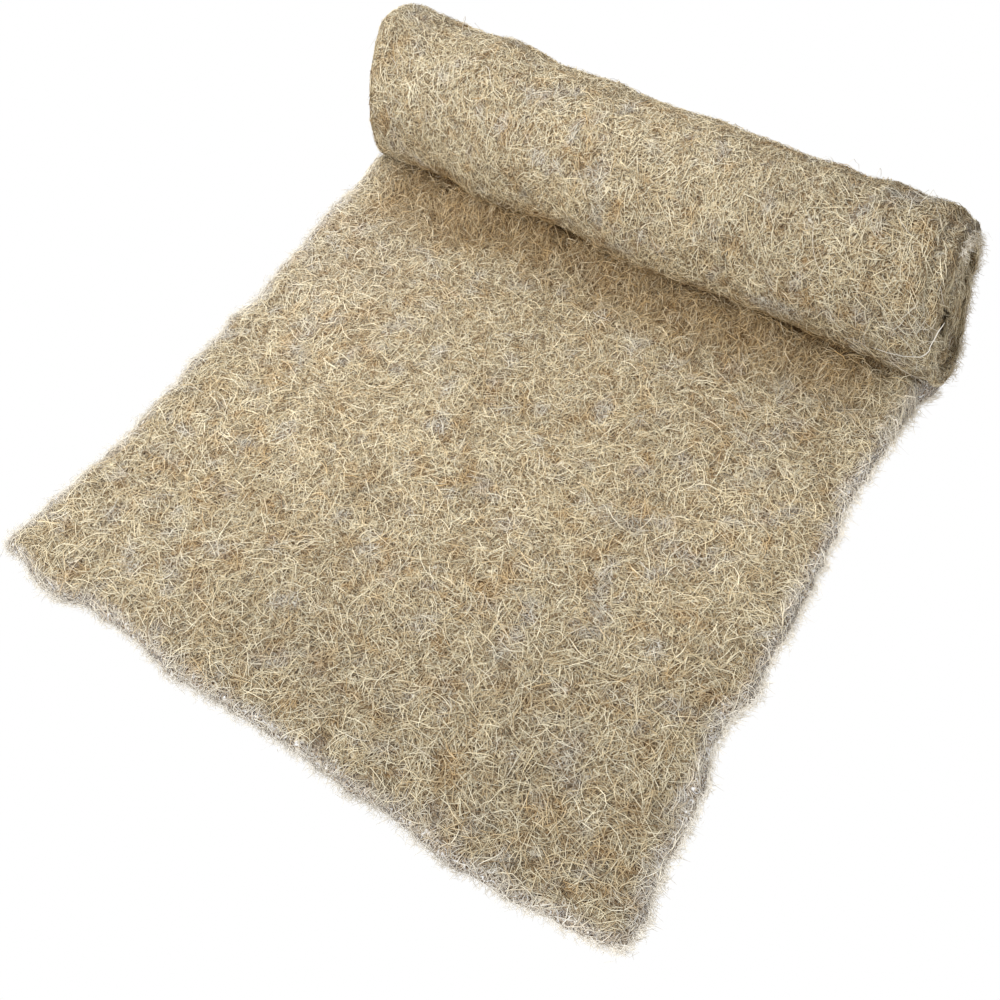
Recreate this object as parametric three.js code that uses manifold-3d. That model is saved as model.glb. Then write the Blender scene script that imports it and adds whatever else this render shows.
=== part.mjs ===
// A length of needled fibre erosion control blanket, partly unrolled.
// It is one mat: an apron lies flat on the floor and the rest is wound up behind it,
// with the apron running in under the roll as its outermost turn.
// Millimetres, +Z up. X runs across the mat, the roll lies at +Y, the apron reaches to -Y.
// The origin is the middle of the bounding box, at floor level.

import * as THREE from 'three';
import { mergeVertices } from 'three/addons/utils/BufferGeometryUtils.js';
import Module from 'manifold-3d';

// The mat
const matWidth = 500;
const matThickness = 12;
const apronLength = 502; // from the line where the roll stands on the floor to the front edge
const frontEdgeRounding = 9; // how far back the top of the front edge starts to curve down

// The roll
const rollRadius = 68; // from the roll's axis down to the floor; each turn is one thickness less
const boreDiameter = 24;
const creaseTurn = 0.94; // the share of the first turn after which the roll lies on the apron

// The roll's ends
const seamWidth = 1.6; // the open line between two turns on an end
const seamDepth = 10;
const shoulderLength = 28; // the ends taper in over this length
const shoulderDrop = 12; // and lose this much of the roll's height
const rightEndLean = 0.35; // how far the right end spreads outwards for each millimetre down
const rightEndSetIn = 7; // how far the right end lies inside the apron's edge at axis height
const leftEndSetIn = 14; // how far the front of the left end lies inside the apron's edge

// The look
const fibreColor = 0xbeaf95;

// Fineness of the curved faces
const segmentsPerTurn = 48;
const seamSegmentsPerTurn = 24;
const boreSegments = 24;
const frontEdgeSegments = 4;
const stationsAcross = 12;

const boreRadius = boreDiameter / 2;
const halfWidth = matWidth / 2;

// A point on the outer face of the winding, with turns counted from the floor contact:
// under the roll, up its back, over the top and down its front. Across is y and up is z.
function windingPoint(turns, offset = 0) {
  const angle = -Math.PI / 2 + turns * 2 * Math.PI;
  const radius = rollRadius - matThickness * turns + offset;
  return new THREE.Vector2(radius * Math.cos(angle), rollRadius + radius * Math.sin(angle));
}

// The section of the apron: flat faces, and a front edge that is rounded at the top. It runs
// back to the line where the roll stands on the floor.
function apronSection() {
  const points = [
    new THREE.Vector2(-apronLength, 0),
    new THREE.Vector2(0, 0),
    new THREE.Vector2(0, matThickness),
  ];
  for (let i = 0; i < frontEdgeSegments; i++) {
    const angle = (Math.PI / 2) * (i / frontEdgeSegments);
    points.push(
      new THREE.Vector2(
        -apronLength + frontEdgeRounding * (1 - Math.sin(angle)),
        matThickness * Math.cos(angle),
      ),
    );
  }
  return new THREE.Shape(points);
}

// The section of the roll: one turn of the winding's outer face, closed down to the floor
// where its front comes to lie on the apron, with the bore through it.
function rollSection() {
  const points = [];
  const steps = Math.round(segmentsPerTurn * creaseTurn);
  for (let i = 0; i <= steps; i++) points.push(windingPoint((creaseTurn * i) / steps));
  points.push(new THREE.Vector2(windingPoint(creaseTurn).x, 0));
  const section = new THREE.Shape(points);
  const bore = new THREE.Path();
  bore.absarc(0, rollRadius, boreRadius, 0, 2 * Math.PI, true);
  section.holes.push(bore);
  return section;
}

// The line between the turns, as a narrow strip that runs from the crease in to the bore.
function seamSection() {
  const lastTurn = (rollRadius - boreRadius) / matThickness;
  const steps = Math.ceil((lastTurn - creaseTurn) * seamSegmentsPerTurn);
  const outer = [];
  const inner = [];
  for (let i = 0; i <= steps; i++) {
    const turns = creaseTurn + ((lastTurn - creaseTurn) * i) / steps;
    outer.push(windingPoint(turns, seamWidth / 2));
    inner.unshift(windingPoint(turns, -seamWidth / 2));
  }
  return new THREE.Shape([...outer, ...inner]);
}

// Extrudes a section across the mat, from one x to another.
function extrudeAcross(section, fromX, toX, steps) {
  const geometry = new THREE.ExtrudeGeometry(section, {
    depth: toX - fromX,
    steps,
    curveSegments: boreSegments / 2, // a full circle gets twice this many
    bevelEnabled: false,
  });
  const acrossX = new THREE.Matrix4().makeBasis(
    new THREE.Vector3(0, 1, 0),
    new THREE.Vector3(0, 0, 1),
    new THREE.Vector3(1, 0, 0),
  );
  geometry.applyMatrix4(acrossX);
  geometry.translate(fromX, 0, 0);
  return geometry;
}

// Moves the even stations of the extrusion closer together towards both ends.
function crowdStations(geometry) {
  const position = geometry.attributes.position;
  for (let i = 0; i < position.count; i++) {
    const share = position.getX(i) / halfWidth;
    position.setX(i, halfWidth * Math.sin((Math.PI / 2) * share));
  }
}

// Shapes the roll's ends: both taper in at the shoulders, the right one leans outwards
// towards the floor, where the turns have wandered past the apron's edge, and the left one
// draws in towards the front.
function shapeEnds(geometry) {
  const position = geometry.attributes.position;
  for (let i = 0; i < position.count; i++) {
    const x = position.getX(i);
    const y = position.getY(i);
    const z = position.getZ(i);
    const intoShoulder = (Math.abs(x) - halfWidth + shoulderLength) / shoulderLength;
    const shoulder = THREE.MathUtils.clamp(intoShoulder, 0, 1);
    const taper = (shoulderDrop * (1 - Math.sqrt(1 - shoulder ** 2))) / (2 * rollRadius);
    const toRight = THREE.MathUtils.smoothstep(x, 0, halfWidth);
    const spread = rightEndLean * (rollRadius - z) - rightEndSetIn;
    const toLeft = THREE.MathUtils.smoothstep(-x, 0, halfWidth);
    const drawnIn = leftEndSetIn * THREE.MathUtils.clamp(-y / rollRadius, 0, 1);
    const shiftedX = x + toRight * spread + toLeft * drawnIn;
    position.setXYZ(i, shiftedX, y * (1 - taper), z * (1 - taper));
  }
}

const wasm = await Module();
wasm.setup();

function toSolid(geometry) {
  geometry.deleteAttribute('normal');
  geometry.deleteAttribute('uv');
  const merged = mergeVertices(geometry, 1e-4);
  return new wasm.Manifold(
    new wasm.Mesh({
      numProp: 3,
      vertProperties: new Float32Array(merged.attributes.position.array),
      triVerts: new Uint32Array(merged.index.array),
    }),
  );
}

function toGeometry(solid) {
  const mesh = solid.getMesh();
  const geometry = new THREE.BufferGeometry();
  geometry.setAttribute('position', new THREE.BufferAttribute(mesh.vertProperties, 3));
  geometry.setIndex(new THREE.BufferAttribute(mesh.triVerts, 1));
  geometry.computeVertexNormals();
  return geometry;
}

// The seam is cut into one end of the roll: side is 1 for the right end and -1 for the left.
function seamCut(side) {
  const inside = side * (halfWidth - seamDepth);
  const outside = side * (halfWidth + seamDepth);
  const cut = extrudeAcross(seamSection(), Math.min(inside, outside), Math.max(inside, outside), 1);
  shapeEnds(cut);
  return toSolid(cut);
}

function makeBlanket() {
  const apron = extrudeAcross(apronSection(), -halfWidth, halfWidth, 1);
  const roll = extrudeAcross(rollSection(), -halfWidth, halfWidth, stationsAcross);
  crowdStations(roll);
  shapeEnds(roll);
  const mat = toSolid(apron).add(toSolid(roll));
  const geometry = toGeometry(mat.subtract(seamCut(1)).subtract(seamCut(-1)));
  geometry.computeBoundingBox();
  const { min, max } = geometry.boundingBox;
  geometry.translate(-(min.x + max.x) / 2, -(min.y + max.y) / 2, -min.z);
  const material = new THREE.MeshStandardMaterial({
    color: fibreColor,
    roughness: 1,
    metalness: 0,
  });
  const mesh = new THREE.Mesh(geometry, material);
  mesh.name = 'blanket';
  return mesh;
}

const group = new THREE.Group();
group.add(makeBlanket());

export default group;
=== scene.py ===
"""The looks of a partly unrolled fibre erosion control mat.

The mat is one sheet: a felted body that lies flat as an apron and winds up into a roll, and
thousands of loose plant fibres on its faces and edges. Metres, +Z up, in the frame's own axes.
"""
import math

import bpy
import numpy as np
from mathutils import Matrix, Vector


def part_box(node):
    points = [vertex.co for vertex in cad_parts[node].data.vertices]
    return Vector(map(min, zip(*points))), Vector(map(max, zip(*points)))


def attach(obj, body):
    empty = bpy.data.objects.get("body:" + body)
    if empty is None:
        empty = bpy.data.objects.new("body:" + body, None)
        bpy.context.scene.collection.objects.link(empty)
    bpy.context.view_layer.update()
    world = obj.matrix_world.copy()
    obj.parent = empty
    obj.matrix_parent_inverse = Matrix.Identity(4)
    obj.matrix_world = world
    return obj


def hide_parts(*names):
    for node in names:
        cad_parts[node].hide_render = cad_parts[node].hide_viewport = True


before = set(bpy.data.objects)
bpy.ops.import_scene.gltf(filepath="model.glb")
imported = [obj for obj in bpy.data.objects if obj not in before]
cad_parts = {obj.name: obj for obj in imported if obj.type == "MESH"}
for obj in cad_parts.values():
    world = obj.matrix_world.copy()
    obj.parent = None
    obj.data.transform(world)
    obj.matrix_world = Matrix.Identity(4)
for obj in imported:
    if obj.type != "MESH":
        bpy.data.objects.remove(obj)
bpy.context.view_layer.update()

MM = 0.001
FIBRE_SEED = 7

# The mat and its winding, at the sizes of the solid
MAT_WIDTH = 500 * MM
MAT_THICKNESS = 12 * MM
APRON_LENGTH = 502 * MM
ROLL_RADIUS = 68 * MM
BORE_RADIUS = 12 * MM
SHOULDER_LENGTH = 28 * MM
SHOULDER_DROP = 12 * MM
RIGHT_END_LEAN = 0.35
RIGHT_END_SET_IN = 7 * MM
LEFT_END_SET_IN = 14 * MM
SPREAD_RUN = 60 * MM  # the apron widens to the roll's right end over this length
CREASE_REACH = 58 * MM  # the crease lies this far in front of the line where the roll stands
FLOOR_CLEARANCE = 0.2 * MM

HALF_WIDTH = MAT_WIDTH / 2
FIRST_MID_RADIUS = ROLL_RADIUS - MAT_THICKNESS / 2
LAST_MID_RADIUS = BORE_RADIUS + MAT_THICKNESS / 2
WOUND_LENGTH = math.pi * (FIRST_MID_RADIUS**2 - LAST_MID_RADIUS**2) / MAT_THICKNESS
MAT_LENGTH = APRON_LENGTH + WOUND_LENGTH

low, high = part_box("blanket")
CENTRE_X = low[0] + HALF_WIDTH
FRONT_Y = low[1]
CONTACT_Y = FRONT_Y + APRON_LENGTH
CREASE_V = APRON_LENGTH - CREASE_REACH

# The felt between the loose fibres
FELT_HALF = 5.1 * MM  # half its thickness
EDGE_ROUNDING = 14 * MM
WOUND_EDGE_ROUNDING = 2.5 * MM
EDGE_DROOP = 0.75
CORNER_FILL = 14 * MM  # how high it rises into the corner in front of the roll
RIM_STEPS = np.array([0, 0.4, 1.5, 3.2, 5.6, 9]) * MM  # its rows and columns next to an edge
COLUMN_STEP = 6 * MM
ROW_STEP = 5 * MM
INNER_ROW_STEP = 8 * MM  # from the second turn on

# The fibres
SINK = 0.6 * MM  # how deep a fibre's ends dive into the felt
END_SEAM = 6.5 * MM  # where the turns meet on the roll's ends, from the middle of a turn
ACROSS = (-HALF_WIDTH, HALF_WIDTH)

# The mat's ragged outline
TATTER_DEPTH = 1.3 * MM
TATTER_SIZE = 9 * MM
EDGE_ZONE = 0.6 * HALF_WIDTH  # the felt moves with its side edges from here outwards
FRONT_ZONE = 80 * MM  # and with its front edge up to here

# How far the mat's outline wanders outwards, in mm, at places along each edge in mm
LEFT_EDGE = (
    (0, 6), (25, 5), (45, 2), (80, -1), (105, -5), (145, -5), (162, -3), (182, -6), (202, -1),
    (220, -1), (240, -4), (260, 1), (280, -5), (305, -1), (360, 0), (400, 5), (422, 1), (445, -1),
    (470, -5), (560, 3), (685, 3), (710, -1), (740, -3), (780, -5), (860, -2),
)
RIGHT_EDGE = (
    (0, 0), (20, 5), (40, 2), (65, 0), (82, 2), (120, -1), (138, -8), (162, -8), (182, 1),
    (220, -2), (240, 2), (260, 0), (300, 0), (360, -3), (380, 0), (440, 4), (475, 5), (560, -2),
    (600, 4), (640, 10), (690, 12), (740, 9), (800, 8), (860, 6), (900, 3), (1000, 2), (1200, 2),
)
FRONT_EDGE = (
    (-250, -10), (-232, -7), (-210, -1), (-190, 2), (-170, -6), (-150, -4), (-130, -6), (-110, -1),
    (-90, 2), (-30, 1), (-10, -2), (70, 2), (100, 1), (130, 5), (190, 2), (210, -2), (230, -4),
    (250, -8),
)
# How far the roll's top and the foot of its front bulge, in mm, at places across it in mm
ROLL_TOP = (
    (-250, 11), (-242, 8), (-228, 2), (-190, -1), (-150, 3), (-130, 1), (-110, -3), (-70, -2),
    (-50, -1), (-30, -3), (50, -1), (130, -2), (150, 0), (170, -2), (190, 2), (212, -1), (230, 4),
    (240, 7), (250, 7),
)
ROLL_FOOT = (
    (-240, 0), (-170, -2), (-137, 6), (-95, 1), (-55, -2), (-7, 4), (30, 6), (72, 1), (195, -2),
)

TOP, UNDER = 1, -1


def smoothstep(x, start, end):
    t = np.clip((x - start) / (end - start), 0, 1)
    return t * t * (3 - 2 * t)


def noise(x, y, size, seed):
    """Smooth random bumps between -1 and 1, each about size across."""
    cells = 128
    lattice = np.random.default_rng(seed).uniform(-1, 1, (cells, cells))
    column, row = np.floor(x / size).astype(int), np.floor(y / size).astype(int)
    across, along = x / size - column, y / size - row
    across, along = across**2 * (3 - 2 * across), along**2 * (3 - 2 * along)

    def pick(i, j):
        return lattice[(column + i) % cells, (row + j) % cells]

    near = pick(0, 0) * (1 - across) + pick(1, 0) * across
    far = pick(0, 1) * (1 - across) + pick(1, 1) * across
    return near * (1 - along) + far * along


def layered_noise(u, v, size, small_size, small_share, seed):
    """Smooth random bumps with smaller ones over them."""
    return noise(u, v, size, seed) + small_share * noise(u, v, small_size, seed + 2)


def wander(places, at):
    """The wander at a place, in metres, from a list of (place, wander) in mm."""
    where, much = np.array(places, float).T * MM
    return np.interp(at, where, much)


def turns_at(v):
    """How many turns the mat has made at v, its length from the front edge."""
    past = np.clip(v - APRON_LENGTH, 0, WOUND_LENGTH)
    inside = FIRST_MID_RADIUS**2 - MAT_THICKNESS * past / math.pi
    return (FIRST_MID_RADIUS - np.sqrt(inside)) / MAT_THICKNESS


def ragged_edge(places, at, seed):
    """The wander of an edge with its small tatters."""
    return wander(places, at) + TATTER_DEPTH * noise(at, at * 0, TATTER_SIZE, seed)


def wander_edges(u, v):
    """Moves the mat's outline in and out, and the felt near it along."""
    right = ragged_edge(RIGHT_EDGE, v, 11)
    left = ragged_edge(LEFT_EDGE, v, 12)
    front = ragged_edge(FRONT_EDGE, u, 13)
    u_moved = (
        u
        + right * smoothstep(u, EDGE_ZONE, HALF_WIDTH)
        - left * smoothstep(-u, EDGE_ZONE, HALF_WIDTH)
    )
    v_moved = v - front * (1 - smoothstep(v, 0, FRONT_ZONE))
    return u_moved, v_moved


def place(u, v, h):
    """Where a point of the mat lies. u runs across it, v along it from the front edge, and h is
    the height over its middle, towards the apron's upper face and so towards the roll's axis."""
    u, v_apron = wander_edges(u, v)
    turns = turns_at(v)
    angle = 2 * math.pi * turns - math.pi / 2
    radius = FIRST_MID_RADIUS - MAT_THICKNESS * turns - h
    wound = v > APRON_LENGTH
    y = np.where(wound, radius * np.cos(angle), v_apron - APRON_LENGTH)
    z = np.where(wound, ROLL_RADIUS + radius * np.sin(angle), MAT_THICKNESS / 2 + h)
    in_roll = smoothstep(v, APRON_LENGTH - SPREAD_RUN, APRON_LENGTH)
    shoulder = np.clip((np.abs(u) - HALF_WIDTH + SHOULDER_LENGTH) / SHOULDER_LENGTH, 0, 1)
    taper = in_roll * SHOULDER_DROP * (1 - np.sqrt(1 - shoulder**2)) / (2 * ROLL_RADIUS)
    spread = RIGHT_END_LEAN * (ROLL_RADIUS - z) - RIGHT_END_SET_IN
    drawn_in = LEFT_END_SET_IN * np.clip(-y / ROLL_RADIUS, 0, 1) * wound
    to_right, to_left = smoothstep(u, 0, HALF_WIDTH), smoothstep(-u, 0, HALF_WIDTH)
    x = u + in_roll * to_right * spread + to_left * drawn_in
    return np.stack([CENTRE_X + x, CONTACT_Y + y * (1 - taper), z * (1 - taper)], -1)


def face_normal(u, v, h):
    """The direction in which h grows."""
    step = 0.5 * MM
    rise = place(u, v, h + step) - place(u, v, h - step)
    return rise / np.linalg.norm(rise, axis=-1, keepdims=True)


def edge_share(distance, rounding):
    """The share of its thickness that the felt keeps this far in from an edge."""
    inside = np.clip(distance / rounding, 0, 1)
    return np.sqrt(1 - (1 - inside) ** 2)


def lumps(u, v, face):
    """How far a face of the felt swells: lumps on the apron and on the outermost turn, the loose
    felt in the corner in front of the roll, and the bulges of the roll's top and foot."""
    turns = turns_at(v)
    small_height = 0.5
    soft = layered_noise(u, v, 34 * MM, 15 * MM, 0.5, 21 + face)
    small = noise(u, v, 6 * MM, 25 + face)
    if face == TOP:
        soft_height, shown = 1.8, 1 - smoothstep(turns, 0.0, 0.05)
    else:
        soft_height, shown = 0.7, smoothstep(turns, 0.06, 0.15)
    shown = shown * (1 - smoothstep(turns, 0.93, 1.0))
    swell = (soft_height * soft + small_height * small) * MM * shown
    if face == TOP:
        rumple = 1 + 0.3 * noise(u, v, 24 * MM, 27) + 0.2 * noise(u, v, 9 * MM, 28)
        into_corner = smoothstep(v, CREASE_V - 22 * MM, CREASE_V + 16 * MM)
        past_corner = smoothstep(v, CREASE_V + 24 * MM, CREASE_V + 40 * MM)
        swell = swell + CORNER_FILL * rumple * into_corner * (1 - past_corner)
    else:
        over_top = smoothstep(turns, 0.15, 0.3) * (1 - smoothstep(turns, 0.5, 0.68))
        at_foot = smoothstep(turns, 0.62, 0.8) * (1 - smoothstep(turns, 0.9, 0.98))
        swell = swell + wander(ROLL_TOP, u) * over_top + wander(ROLL_FOOT, u) * at_foot
    return swell


def face_height(u, v, face):
    """The height of a face of the felt over the middle of the mat."""
    flat = 1 - smoothstep(v, APRON_LENGTH - SPREAD_RUN, APRON_LENGTH)
    rounding = WOUND_EDGE_ROUNDING + (EDGE_ROUNDING - WOUND_EDGE_ROUNDING) * flat
    keep = (
        edge_share(HALF_WIDTH - np.abs(u), rounding)
        * edge_share(v, EDGE_ROUNDING)
        * edge_share(MAT_LENGTH - v, EDGE_ROUNDING)
    )
    droop = -EDGE_DROOP * FELT_HALF * (1 - keep) * flat
    return face * keep * (FELT_HALF + lumps(u, v, face)) + droop


def add_mesh(name, vertices, corners, sizes, uv, tint, material):
    """A mesh object from arrays: sizes holds each face's number of corners."""
    mesh = bpy.data.meshes.new(name)
    mesh.vertices.add(len(vertices))
    mesh.vertices.foreach_set("co", np.ascontiguousarray(vertices, np.float32).ravel())
    mesh.loops.add(len(corners))
    mesh.loops.foreach_set("vertex_index", np.ascontiguousarray(corners, np.int32))
    mesh.polygons.add(len(sizes))
    starts = np.concatenate([[0], np.cumsum(sizes)[:-1]]).astype(np.int32)
    mesh.polygons.foreach_set("loop_start", starts)
    mesh.update(calc_edges=True)
    mesh.validate()
    mesh.polygons.foreach_set("use_smooth", np.ones(len(sizes), bool))
    layer = mesh.uv_layers.new(name="OFBake")
    layer.uv.foreach_set("vector", np.ascontiguousarray(uv, np.float32).ravel())
    colour = mesh.color_attributes.new("tint", "FLOAT_COLOR", "POINT")
    colour.data.foreach_set("color", np.ascontiguousarray(tint, np.float32).ravel())
    mesh.materials.append(material)
    mesh.update()
    piece = bpy.data.objects.new(name, mesh)
    bpy.context.collection.objects.link(piece)
    return piece


# Colours


def linear(red, green, blue):
    """A colour that is given as it shows on a screen, from 0 to 255, as light."""
    share = np.array([red, green, blue]) / 255
    return np.where(share <= 0.04045, share / 12.92, ((share + 0.055) / 1.055) ** 2.4)


CREAM = linear(239, 229, 201)
STRAW = linear(224, 209, 174)
TAN = linear(196, 174, 136)
OCHRE = linear(192, 153, 94)
# Russet fibre by the crease, partly its own colour and partly painted shade.
RUSSET_AND_SHADE = linear(178, 142, 86)
BROWN = linear(124, 98, 66)
GREY = linear(214, 211, 205)
PALE = linear(220, 215, 205)
# The dark in the gaps between the fibres is painted shade.
GAP_PAINTED_SHADE = linear(66, 48, 30)
PACKED = linear(160, 136, 100)

TAN_CHANCE, BROWN_CHANCE = 0.24, 0.12
TAKEN = 0.9  # how far such a fibre takes its colour
CREST_PAINTED_LIGHT = (0.86, 0.28)  # a fibre's brightness in the felt, painted shade, and the painted light that it gains the higher it stands on top of it


def patches(u, v, face):
    """Where the mat is ochre, pale grey or, by the crease, russet: three shares from 0 to 1. The
    russet is partly the fibres' own colour and partly painted shade in the crease.
    """
    most_ochre, most_russet_wound, most_russet_flat, back_left_pale = 0.75, 0.8, 0.72, 0.3
    ochre_noise = layered_noise(u, v, 10 * MM, 5 * MM, 0.6, 41 + face)
    pale_noise = layered_noise(u, v, 14 * MM, 6 * MM, 0.6, 45 + face)
    ragged = layered_noise(u, v, 24 * MM, 8 * MM, 0.6, 49 + face)
    if face == UNDER:
        turns = turns_at(v) + 0.03 * ragged
        at_foot = smoothstep(turns, 0.75, 0.87) * (1 - smoothstep(turns, 1.0, 1.1))
        russet_and_shade = most_russet_wound * at_foot
    else:
        from_crease = CREASE_V - v + 11 * MM * ragged
        russet_and_shade = most_russet_flat * (1 - smoothstep(from_crease, 2 * MM, 42 * MM))
    russet_and_shade = russet_and_shade * (1 - smoothstep(np.abs(u), 200 * MM, 236 * MM))
    ochre = most_ochre * smoothstep(ochre_noise, 0.25, 1.0)
    pale = smoothstep(pale_noise, 0.3, 1.0)
    if face == TOP:
        back_left = smoothstep(-u, 60 * MM, 220 * MM) * smoothstep(v, 200 * MM, 380 * MM)
        pale = pale + back_left_pale * back_left * (1 - pale)
    return ochre, pale * (1 - russet_and_shade), russet_and_shade


def margin(u, v):
    """How much a place belongs to the apron's pale, thin margin, as a share."""
    front_narrowing, full_width, faded_width = 1.2, 3 * MM, 15 * MM
    ragged = 3 * MM * noise(u, v, 14 * MM, 53) + 2 * MM * noise(u, v, 5 * MM, 54)
    inwards = np.minimum(HALF_WIDTH - np.abs(u), front_narrowing * v) + ragged
    return (1 - smoothstep(inwards, full_width, faded_width)) * (v < APRON_LENGTH)


def pale_tone_painted_light(u):
    """The colour of the pale fibre at the mat's edges, with painted light on it. The painted light
    is strongest on the right.
    """
    return PALE * (1.05 + 0.25 * smoothstep(u, 0.5 * HALF_WIDTH, HALF_WIDTH))[..., None]


def tone_and_painted_shade(u, v, face):
    """How bright the mat is as a share: a broad random tone, with painted shade towards the
    apron's front, by the crease and towards the roll's ends, and painted light at the apron's back
    left."""
    broad = 1 + 0.05 * noise(u, v, 60 * MM, 55 + face)
    if face == UNDER:
        # Painted shade towards the roll's ends, most on the right.
        ends = 0.13 * smoothstep(u, 0, HALF_WIDTH) + 0.07 * smoothstep(-u, 60 * MM, 160 * MM)
        return broad * (0.99 - ends)
    # Painted shade towards the front, more so on the right, and by the crease; painted light at
    # the back left.
    front = 0.18 * (1 - smoothstep(v + 0.35 * (HALF_WIDTH - u), 60 * MM, 330 * MM))
    crease = 0.07 * smoothstep(v, CREASE_V - 60 * MM, CREASE_V - 15 * MM)
    back_left = 0.05 * smoothstep(-u, 60 * MM, 220 * MM) * smoothstep(v, 200 * MM, 330 * MM)
    return broad * (1.01 - front - crease + back_left)


def mix(first, second, share):
    share = np.asarray(share)[..., None]
    return first * (1 - share) + second * share


def fibre_colours(rng, u, v, face):
    """A colour for each fibre, from its own chance and from the patch that it lies in, with the
    painted shade and light of its place.
    """
    ochre, pale, russet_and_shade = patches(u, v, face)
    count = len(u)

    def chance(least, span):
        return least + span * rng.random(count)

    colour = mix(STRAW, CREAM, smoothstep(chance(0, 1), 0.25, 0.75))
    colour = mix(colour, TAN, (chance(0, 1) < TAN_CHANCE) * TAKEN)
    colour = mix(colour, OCHRE, ochre * chance(0.2, 0.7))
    colour = mix(colour, GREY, pale * chance(0.15, 0.5))
    colour = mix(colour, RUSSET_AND_SHADE, russet_and_shade * chance(0.45, 0.55))
    colour = mix(colour, BROWN, (chance(0, 1) < BROWN_CHANCE) * TAKEN)
    if face == TOP:
        colour = mix(colour, pale_tone_painted_light(u), margin(u, v) * chance(0.45, 0.45))
    own_shade = rng.normal(1, 0.1, count)
    # The painted shade and light of the fibre's place, times its own random brightness.
    return colour * (tone_and_painted_shade(u, v, face) * own_shade)[:, None]


# Materials


def new_material(name, roughness, specular):
    material = bpy.data.materials.new(name)
    material.use_nodes = True
    nodes, links = material.node_tree.nodes, material.node_tree.links
    shader = nodes["Principled BSDF"]
    shader.inputs["Roughness"].default_value = roughness
    shader.inputs["Specular IOR Level"].default_value = specular
    return material, nodes, links, shader


def math_node(nodes, links, operation, first, second=None, clamp=False):
    node = nodes.new("ShaderNodeMath")
    node.operation = operation
    node.use_clamp = clamp
    for socket, value in zip(node.inputs, (first, second)):
        if value is None:
            continue
        if isinstance(value, (int, float)):
            socket.default_value = value
        else:
            links.new(value, socket)
    return node.outputs[0]


def noise_node(nodes, links, coordinates, scale, detail=1.0, seed=0.0, distortion=0.0):
    node = nodes.new("ShaderNodeTexNoise")
    node.noise_dimensions = "4D"
    node.inputs["Scale"].default_value = scale
    node.inputs["Detail"].default_value = detail
    node.inputs["W"].default_value = seed
    node.inputs["Distortion"].default_value = distortion
    links.new(coordinates, node.inputs["Vector"])
    return node.outputs["Fac"]


def mix_node(nodes, links, share, first, second):
    node = nodes.new("ShaderNodeMix")
    node.data_type = "RGBA"
    factor, colour_a, colour_b = node.inputs[0], node.inputs[6], node.inputs[7]
    for socket, value in ((factor, share), (colour_a, first), (colour_b, second)):
        if isinstance(value, np.ndarray):
            socket.default_value = (*value, 1)
        elif isinstance(value, (int, float)):
            socket.default_value = value
        else:
            links.new(value, socket)
    return node.outputs[2]


def thread_lines(nodes, links, coordinates, size, levels, width, seed):
    """Thin curly lines: the contours of smooth noise whose lumps are about size across."""
    field = noise_node(nodes, links, coordinates, 1 / size, detail=0.0, seed=seed, distortion=0.6)
    steps = math_node(nodes, links, "MULTIPLY", field, levels)
    wave = math_node(nodes, links, "PINGPONG", steps, 0.5)
    edge = math_node(nodes, links, "DIVIDE", wave, width)
    return math_node(nodes, links, "SUBTRACT", 1.0, edge, clamp=True)


def felt_material():
    """Packed fibre: crossing thin lines of straw over brown, with painted shade in the gaps
    between them.
    """
    material, nodes, links, shader = new_material("felt", roughness=0.85, specular=0.25)
    coordinates = nodes.new("ShaderNodeTexCoord").outputs["Object"]
    patch = nodes.new("ShaderNodeVertexColor")
    patch.layer_name = "tint"
    gap_scale, gap_edge, gap_contrast, packed_height = 620, 0.44, 6.0, 0.4
    gaps = noise_node(nodes, links, coordinates, gap_scale, detail=2.0, seed=1.0)
    past_edge = math_node(nodes, links, "SUBTRACT", gaps, gap_edge)
    packed = math_node(nodes, links, "MULTIPLY", past_edge, gap_contrast, clamp=True)
    colour = mix_node(nodes, links, packed, GAP_PAINTED_SHADE, PACKED)
    height = math_node(nodes, links, "MULTIPLY", packed, packed_height)
    for size, levels, width, seed, tone in (
        (0.011, 16.0, 0.20, 2.0, TAN),
        (0.009, 14.0, 0.17, 5.0, STRAW),
        (0.012, 15.0, 0.15, 8.0, CREAM),
    ):
        line = thread_lines(nodes, links, coordinates, size, levels, width, seed)
        colour = mix_node(nodes, links, line, colour, tone)
        height = math_node(nodes, links, "MAXIMUM", height, line)
    tinted = nodes.new("ShaderNodeMix")
    tinted.data_type = "RGBA"
    tinted.blend_type = "MULTIPLY"
    tinted.inputs[0].default_value = 1.0
    links.new(colour, tinted.inputs[6])
    links.new(patch.outputs["Color"], tinted.inputs[7])
    links.new(tinted.outputs[2], shader.inputs["Base Color"])
    bump = nodes.new("ShaderNodeBump")
    bump.inputs["Strength"].default_value = 1.0
    bump.inputs["Distance"].default_value = 0.5 * MM
    links.new(height, bump.inputs["Height"])
    links.new(bump.outputs["Normal"], shader.inputs["Normal"])
    return material


def fibre_material():
    """A loose plant fibre: its own colour, mottled along its length, with a faint dry gloss."""
    material, nodes, links, shader = new_material("fibre", roughness=0.7, specular=0.25)
    coordinates = nodes.new("ShaderNodeTexCoord").outputs["Object"]
    own = nodes.new("ShaderNodeVertexColor")
    own.layer_name = "tint"
    mottle_scale, mottle_strength, darkest = 260, 0.5, 0.76
    mottle = noise_node(nodes, links, coordinates, mottle_scale, detail=2.0, seed=3.0)
    mottled = math_node(nodes, links, "MULTIPLY", mottle, mottle_strength)
    shade = math_node(nodes, links, "ADD", mottled, darkest)
    toned = nodes.new("ShaderNodeVectorMath")
    toned.operation = "SCALE"
    links.new(own.outputs["Color"], toned.inputs[0])
    links.new(shade, toned.inputs["Scale"])
    links.new(toned.outputs[0], shader.inputs["Base Color"])
    return material


# The felt body


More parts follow.
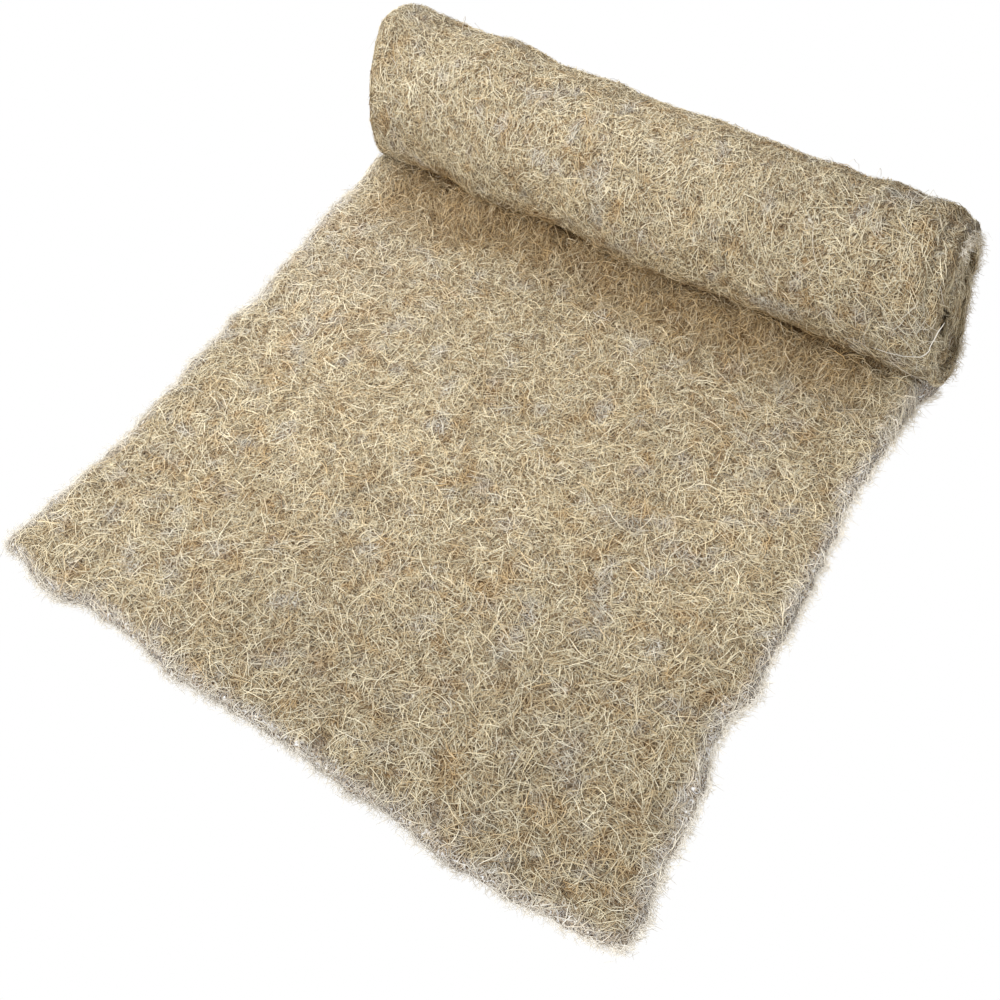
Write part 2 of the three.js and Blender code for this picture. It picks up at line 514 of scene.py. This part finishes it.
def felt_columns():
    """Places across the mat, closer together where its edges round over."""
    inner = HALF_WIDTH - RIM_STEPS[-1]
    middle = np.linspace(-inner, inner, round(2 * inner / COLUMN_STEP) + 1)
    return np.concatenate([RIM_STEPS[:-1] - HALF_WIDTH, middle, HALF_WIDTH - RIM_STEPS[-2::-1]])


def felt_rows():
    """Places along the mat, close together on the apron and the outermost turn."""
    outer_turn = APRON_LENGTH + 2 * math.pi * FIRST_MID_RADIUS
    fine = np.arange(RIM_STEPS[-1], outer_turn, ROW_STEP)
    coarse = np.arange(outer_turn, MAT_LENGTH - RIM_STEPS[-1], INNER_ROW_STEP)
    return np.concatenate([RIM_STEPS[:-1], fine, coarse, MAT_LENGTH - RIM_STEPS[-2::-1]])


def make_felt(material):
    """The mat's body as one closed mesh: an upper and an under face that share their rim."""
    columns, rows = felt_columns(), felt_rows()
    across, along = len(columns), len(rows)
    u, v = np.meshgrid(columns, rows)
    upper = place(u, v, face_height(u, v, TOP)).reshape(-1, 3)
    under = place(u, v, face_height(u, v, UNDER)).reshape(-1, 3)
    index = np.arange(along * across).reshape(along, across)
    rim = np.zeros((along, across), bool)
    rim[[0, -1], :] = True
    rim[:, [0, -1]] = True
    under_index = np.where(rim, index, -1)
    under_index[~rim] = along * across + np.arange((~rim).sum())
    vertices = np.concatenate([upper, under[~rim.ravel()]])

    def quads(grid):
        around = [grid[:-1, :-1], grid[:-1, 1:], grid[1:, 1:], grid[1:, :-1]]
        return np.stack(around, -1).reshape(-1, 4)

    corners = np.concatenate([quads(index), quads(under_index)[:, ::-1]])
    flat = np.stack([(u + HALF_WIDTH) / MAT_WIDTH, v / MAT_LENGTH], -1).reshape(-1, 2)
    half_map, other_half = (0.49, 1), (0.51, 0)
    upper_uv = flat[quads(index)] * half_map
    under_uv = flat[quads(index)[:, ::-1]] * half_map + other_half
    uv = np.concatenate([upper_uv, under_uv]).reshape(-1, 2)

    def tints(face):
        ochre, pale, russet_and_shade = patches(u, v, face)
        ochre_strength, pale_strength, margin_painted_light = 0.8, 0.5, 1.1
        tone = mix(np.ones(3), OCHRE / STRAW, ochre * ochre_strength)
        tone = mix(tone, GREY / STRAW, pale * pale_strength)
        # The felt takes the painted shade and light of its place, and at its margin the pale
        # colour with painted light on it.
        tone = mix(tone, RUSSET_AND_SHADE / STRAW, russet_and_shade) * tone_and_painted_shade(u, v, face)[..., None]
        tone = mix(tone, margin_painted_light * pale_tone_painted_light(u) / STRAW, margin(u, v))
        return np.concatenate([tone, np.ones((*u.shape, 1))], -1).reshape(-1, 4)

    tint = np.concatenate([tints(TOP), tints(UNDER)[~rim.ravel()]])
    sizes = np.full(len(corners), 4)
    return add_mesh("mat_felt", vertices, corners.ravel(), sizes, uv, tint, material)


# The loose fibres


def curly_paths(rng, u, v, heading, length, steps, curl, drift):
    """Paths on the mat that curl at random: each one's u and v, centred on where it starts."""
    count = len(u)
    step = (length / steps)[:, None]
    bend = rng.normal(0, curl, count)
    angles = np.empty((count, steps))
    for i in range(steps):
        angles[:, i] = heading
        bend = bend + rng.normal(0, drift, count)
        heading = heading + bend * step[:, 0]
    start = np.zeros((count, 1))
    us = np.concatenate([start, np.cumsum(step * np.sin(angles), 1)], 1)
    vs = np.concatenate([start, np.cumsum(step * np.cos(angles), 1)], 1)
    middle = steps // 2
    return u[:, None] + us - us[:, [middle]], v[:, None] + vs - vs[:, [middle]]


def add_strips(name, paths, outwards, width, tilt, colours, material):
    """Flat fibres as one mesh: each is a strip along its own path, narrower at both ends."""
    tip_width, widening, never_zero = 0.3, 3, 1e-12
    count, points = paths.shape[:2]
    along = np.gradient(paths, axis=1)
    side = np.cross(along, outwards)
    side /= np.linalg.norm(side, axis=-1, keepdims=True) + never_zero
    side = side * np.cos(tilt)[:, None, None] + outwards * np.sin(tilt)[:, None, None]
    bow = np.sin(np.pi * np.linspace(0, 1, points))
    narrowing = np.minimum(1, tip_width + widening * bow)
    half = (width[:, None] * narrowing)[..., None] / 2
    vertices = np.stack([paths - side * half, paths + side * half], axis=2).reshape(-1, 3)
    vertices[:, 2] = np.maximum(vertices[:, 2], FLOOR_CLEARANCE)
    first = ((np.arange(count) * points * 2)[:, None] + np.arange(points - 1) * 2).ravel()
    quads = np.stack([first, first + 1, first + 3, first + 2], -1)

    # Each fibre has a square cell of the UV map to itself, and keeps clear of its borders.
    cells = math.ceil(math.sqrt(count))
    strand = np.arange(count)
    cell = np.stack([strand % cells, strand // cells], -1)
    reach, sides = np.meshgrid(np.linspace(0.15, 0.85, points), (0.2, 0.8), indexing="ij")
    spots = (cell[:, None, None] + np.stack([reach, sides], -1)) / cells
    uv = spots.reshape(-1, 2)[quads.ravel()]
    tint = np.repeat(np.concatenate([colours, np.ones((count, 1))], -1), points * 2, axis=0)
    return add_mesh(name, vertices, quads.ravel(), np.full(len(quads), 4), uv, tint, material)


def arch(rng, share, points, lift):
    """Heights over the face along each fibre: it comes up out of the felt and dives in again."""
    few_stand_high, unevenness = 1.5, 0.15
    bow = np.sin(np.pi * np.linspace(0, 1, points))
    crest = lift * share[:, None] ** few_stand_high
    uneven_bow = bow + rng.normal(0, unevenness, (len(share), points))
    return crest * uneven_bow - SINK * (1 - bow)


class Lay:
    """How the fibres of one kind lie: lengths and widths in metres, angles in radians."""

    def __init__(self, length, width, steps, curl, drift, spread=2.0, lift=0.0, tilt=0.5):
        self.length, self.width, self.steps = length, width, steps
        self.curl, self.drift, self.spread = curl, drift, spread
        self.lift, self.tilt = lift, tilt


def scattered(rng, lay, u, v):
    """Curly paths of one kind through places on the mat."""
    count = len(u)
    length = rng.uniform(*lay.length, count)
    heading = rng.normal(0, lay.spread, count) + math.pi * rng.integers(0, 2, count)
    return curly_paths(rng, u, v, heading, length, lay.steps, lay.curl, lay.drift)


def face_fibres(name, rng, lay, face, count, u_range, v_range, material):
    """Fibres scattered over a stretch of one face."""
    u, v = rng.uniform(*u_range, count), rng.uniform(*v_range, count)
    us, vs = scattered(rng, lay, u, v)
    vs = np.clip(vs, 0, MAT_LENGTH)
    crest = rng.random(count)
    h = face_height(us, vs, face) + face * arch(rng, crest, lay.steps + 1, lay.lift)
    width, tilt = rng.uniform(*lay.width, count), rng.normal(0, lay.tilt, count)
    outwards = face_normal(us, vs, h) * face
    # Fibres low in the felt get painted shade, those that stand high get painted light.
    in_felt, gain = CREST_PAINTED_LIGHT
    colours = fibre_colours(rng, u, v, face) * (in_felt + gain * crest)[:, None]
    return add_strips(name, place(us, vs, h), outwards, width, tilt, colours, material)


def rim_fibres(name, rng, lay, count, u, v, h_range, material):
    """Fibres that stick out of the mat's rim, anywhere through its thickness."""
    least_pale = 0.6
    us, vs = scattered(rng, lay, u, v)
    vs = np.minimum(vs, MAT_LENGTH)
    h = rng.uniform(*h_range, (count, 1)) + rng.normal(0, lay.lift / 3, us.shape)
    lowest = 2 * FLOOR_CLEARANCE - MAT_THICKNESS / 2
    h = np.where(vs < APRON_LENGTH, np.maximum(h, lowest), h)
    width, tilt = rng.uniform(*lay.width, count), rng.normal(0, lay.tilt, count)
    own_colours = fibre_colours(rng, u, v, TOP)
    share = least_pale + (1 - least_pale) * rng.random(count)
    colours = mix(own_colours, pale_tone_painted_light(u), share)
    outwards = face_normal(us, vs, h)
    return add_strips(name, place(us, vs, h), outwards, width, tilt, colours, material)


def apron_fibres(rng, material):
    """A fine layer of short fibres, and longer curly ones over it."""
    short = Lay(length=(7 * MM, 15 * MM), width=(0.25 * MM, 0.4 * MM), steps=2, curl=30, drift=20,
                lift=1.8 * MM)
    long = Lay(length=(12 * MM, 28 * MM), width=(0.27 * MM, 0.48 * MM), steps=4, curl=45, drift=30,
               lift=2.6 * MM)
    short_count, long_count = 39000, 23000
    along = (0, APRON_LENGTH - 40 * MM)
    return [
        face_fibres("apron_fibres_1", rng, short, TOP, short_count, ACROSS, along, material),
        face_fibres("apron_fibres_2", rng, long, TOP, long_count, ACROSS, along, material),
    ]


def roll_fibres(rng, material):
    """The same two layers round the roll, pressed flatter and lying more round than across."""
    short = Lay(length=(6 * MM, 13 * MM), width=(0.25 * MM, 0.38 * MM), steps=2, spread=1.2,
                curl=25, drift=15, lift=0.7 * MM, tilt=0.35)
    long = Lay(length=(9 * MM, 22 * MM), width=(0.26 * MM, 0.44 * MM), steps=4, spread=1.3,
               curl=35, drift=30, lift=2.0 * MM, tilt=0.4)
    short_count, long_count = 37000, 22000
    round_roll = (APRON_LENGTH + 20 * MM, APRON_LENGTH + 365 * MM)
    return [
        face_fibres("roll_fibres_1", rng, short, UNDER, short_count, ACROSS, round_roll, material),
        face_fibres("roll_fibres_2", rng, long, UNDER, long_count, ACROSS, round_roll, material),
    ]


def crease_fibres(rng, material):
    """Loose fibre that fills the corner between the roll and the apron."""
    lay = Lay(length=(9 * MM, 26 * MM), width=(0.3 * MM, 0.55 * MM), steps=3, curl=60, drift=45,
              lift=7 * MM, tilt=0.8)
    count, corner = 9000, (CREASE_V - 30 * MM, CREASE_V + 14 * MM)
    return [face_fibres("crease_fibres", rng, lay, TOP, count, ACROSS, corner, material)]


def end_fibres(rng, material):
    """Fibres over both ends of the roll: they follow the turns round and cross from one to the
    next, and a thin veil of them lies over the bore."""
    lay = Lay(length=(6 * MM, 16 * MM), width=(0.35 * MM, 0.55 * MM), steps=3, spread=0.5,
              curl=25, drift=20)
    deepest, slope = 2.2 * MM, 0.8  # how far the fibres sink in towards the seam of the turns
    out_from_end, scatter, unevenness = -0.6 * MM, 1.0 * MM, 0.3 * MM
    # The end fibres get painted light, 1.1 times, over the painted shade of the roll's ends, which
    # they take as if they lay just inside the end.
    light, near_end = 1.1, 0.96 * HALF_WIDTH
    pieces = []
    for name, count, start, h_range in (
        ("end_fibres", 13000, APRON_LENGTH + 30 * MM, (-6 * MM, 6 * MM)),
        ("bore_fibres", 2000, MAT_LENGTH - 110 * MM, (0, LAST_MID_RADIUS)),
    ):
        side = np.where(np.arange(count) < count / 2, 1, -1)
        v = rng.uniform(start, MAT_LENGTH - 8 * MM, count)
        sideways, vs = scattered(rng, lay, np.zeros(count), v)
        vs = np.clip(vs, start, MAT_LENGTH)
        h = np.clip(rng.uniform(*h_range, (count, 1)) + sideways, -END_SEAM, h_range[1] + MM)
        seam_depth = np.maximum(0, deepest - (h + END_SEAM) * slope)
        out = rng.normal(out_from_end, scatter, (count, 1)) + rng.normal(0, unevenness, h.shape)
        us = side[:, None] * (HALF_WIDTH + out - seam_depth)
        outwards = np.broadcast_to(side[:, None, None] * np.array([1.0, 0, 0]), (*us.shape, 3))
        width, tilt = rng.uniform(*lay.width, count), rng.normal(0, lay.tilt, count)
        colours = light * fibre_colours(rng, side * near_end, v, UNDER)
        pieces.append(add_strips(name, place(us, vs, h), outwards, width, tilt, colours, material))
    return pieces


def fringe(rng, material):
    """Pale, thin loose fibres out of the apron's three edges, most of them low on the floor, and
    out of the back of the roll's rims and their feet in front."""
    lay = Lay(length=(3 * MM, 8 * MM), width=(0.25 * MM, 0.45 * MM), steps=2, curl=110, drift=80,
              lift=1.5 * MM, tilt=0.6)
    count, rim_count = 21000, 3000
    heights, rim_heights = (-6 * MM, 1 * MM), (-7 * MM, 4 * MM)
    left, right, front = 0, 1, 2
    past_edge, scatter, more_on_right = -1.2 * MM, 2.4 * MM, 0.8 * MM
    edge = rng.integers(0, 3, count)
    out = rng.normal(past_edge, scatter, count) + more_on_right * (edge == right)
    u = np.select([edge == left, edge == right], [-HALF_WIDTH - out, HALF_WIDTH + out],
                  rng.uniform(*ACROSS, count))
    v = np.where(edge == front, -out, rng.uniform(0, APRON_LENGTH - 20 * MM, count))

    right_share, back_share = 0.7, 0.85
    side = np.where(rng.random(rim_count) < right_share, 1, -1)
    rim_u = side * (HALF_WIDTH + rng.normal(0, 2, rim_count) * MM)
    at_back = rng.random(rim_count) < back_share
    past = np.where(at_back, rng.uniform(20, 190, rim_count), rng.uniform(335, 375, rim_count))
    rim_v = APRON_LENGTH + past * MM
    return [
        rim_fibres("fringe", rng, lay, count, u, v, heights, material),
        rim_fibres("roll_fringe", rng, lay, rim_count, rim_u, rim_v, rim_heights, material),
    ]


def strays(rng, material):
    """A few long thin fibres that stand off the roll and the edges."""
    lay = Lay(length=(14 * MM, 34 * MM), width=(0.25 * MM, 0.4 * MM), steps=6, curl=50, drift=30,
              lift=9 * MM, tilt=0.5)
    count, right_share, paleness, from_end = 130, 0.6, 0.6, 30
    side = np.where(rng.random(count) < right_share, 1, -1)
    u = side * (HALF_WIDTH - rng.exponential(from_end, count) * MM)
    v = rng.uniform(APRON_LENGTH + 30 * MM, APRON_LENGTH + 330 * MM, count)
    us, vs = scattered(rng, lay, u, v)
    h = UNDER * (FELT_HALF + arch(rng, rng.random(count), lay.steps + 1, lay.lift))
    width, tilt = rng.uniform(*lay.width, count), rng.normal(0, lay.tilt, count)
    colours = mix(fibre_colours(rng, u, v, UNDER), PALE, paleness * np.ones(count))
    outwards = face_normal(us, vs, h) * UNDER
    return [add_strips("strays", place(us, vs, h), outwards, width, tilt, colours, material)]


def long_fibre(rng, material):
    """The one long pale fibre that lies in a bow over the roll's right corner."""
    points, thickness = 25, 0.7 * MM
    bends = np.array([  # across, along and out from the felt
        (210, 777, 3), (221, 776, 3), (233, 773, 3), (243, 768, 3), (250, 760, 3), (254, 749, 4),
        (257, 738, 6),
    ]) * MM
    share = np.linspace(0, len(bends) - 1, points)
    u, v, out = (np.interp(share, range(len(bends)), line) for line in bends.T)
    u, v, h = u[None], v[None], -(FELT_HALF + out)[None]
    width, tilt = np.array([thickness]), np.array([0.0])
    outwards = face_normal(u, v, h) * UNDER
    return [add_strips("long_fibre", place(u, v, h), outwards, width, tilt, PALE[None], material)]


def make_fibres(material):
    """All the loose fibres, in pieces of a size that is easy to handle."""
    rng = np.random.default_rng(FIBRE_SEED)
    makers = apron_fibres, roll_fibres, crease_fibres, end_fibres, fringe, strays, long_fibre
    return [piece for maker in makers for piece in maker(rng, material)]


# The stage


def make_stage():
    """A plain floor that is lit white all over."""
    reach = 6.0
    corners = [(-reach, -reach, 0), (reach, -reach, 0), (reach, reach, 0), (-reach, reach, 0)]
    mesh = bpy.data.meshes.new("floor")
    mesh.from_pydata(corners, [], [(0, 1, 2, 3)])
    floor = bpy.data.objects.new("floor", mesh)
    bpy.context.collection.objects.link(floor)
    material, _, _, shader = new_material("floor", roughness=0.85, specular=0)
    shader.inputs["Base Color"].default_value = (0, 0, 0, 1)
    shader.inputs["Emission Color"].default_value = (1, 1, 1, 1)
    shader.inputs["Emission Strength"].default_value = 1.0
    mesh.materials.append(material)


def add_light(name, position, target, size, power):
    light = bpy.data.lights.new(name, "AREA")
    light.shape = "DISK"
    light.size = size
    light.energy = power
    lamp = bpy.data.objects.new(name, light)
    away = np.array(position) - np.array(target)
    back = away / np.linalg.norm(away)
    right = np.cross((0, 1, 0), back)
    right /= np.linalg.norm(right)
    turn = Matrix(np.stack([right, np.cross(back, right), back], 1).tolist()).to_4x4()
    lamp.matrix_world = Matrix.Translation(position) @ turn
    bpy.context.collection.objects.link(lamp)


def make_lights():
    """A soft key from above and behind, a fill from the front left, and white all round."""
    add_light("key", position=(-0.48, 0.40, 0.95), target=(0.0, -0.05, 0.0), size=1.0, power=6.8)
    add_light("fill", position=(-0.60, -1.05, 0.95), target=(0.0, 0.1, 0.0), size=1.2, power=18)
    world = bpy.data.worlds.new("studio")
    world.use_nodes = True
    world.node_tree.nodes["Background"].inputs["Color"].default_value = (1, 1, 1, 1)
    world.node_tree.nodes["Background"].inputs["Strength"].default_value = 0.55
    bpy.context.scene.world = world


def make_camera():
    """The photograph's view, as found from the mat's corners, its crease and its outline."""
    position = (0.2354, -0.3605, 0.6364)
    azimuth, elevation, roll = (math.radians(a) for a in (35.14, 59.62, -3.49))
    focal_share = 1.0089
    camera = bpy.data.cameras.new("camera")
    camera.sensor_width = 36
    camera.lens = focal_share * camera.sensor_width
    camera.clip_start = 0.01
    level = np.array([math.cos(azimuth), math.sin(azimuth), 0])
    back = np.array([math.sin(azimuth) * math.cos(elevation),
                     -math.cos(azimuth) * math.cos(elevation), math.sin(elevation)])
    rise = np.cross(back, level)
    right = math.cos(roll) * level + math.sin(roll) * rise
    up = math.cos(roll) * rise - math.sin(roll) * level
    seer = bpy.data.objects.new("camera", camera)
    turn = Matrix(np.stack([right, up, back], 1).tolist()).to_4x4()
    seer.matrix_world = Matrix.Translation(position) @ turn
    bpy.context.collection.objects.link(seer)
    bpy.context.scene.camera = seer


make_camera()
make_stage()
make_lights()
bpy.context.scene.view_settings.view_transform = "Standard"

felt = make_felt(felt_material())
fibres = make_fibres(fibre_material())

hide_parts("blanket")
for piece in (felt, *fibres):
    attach(piece, "root")
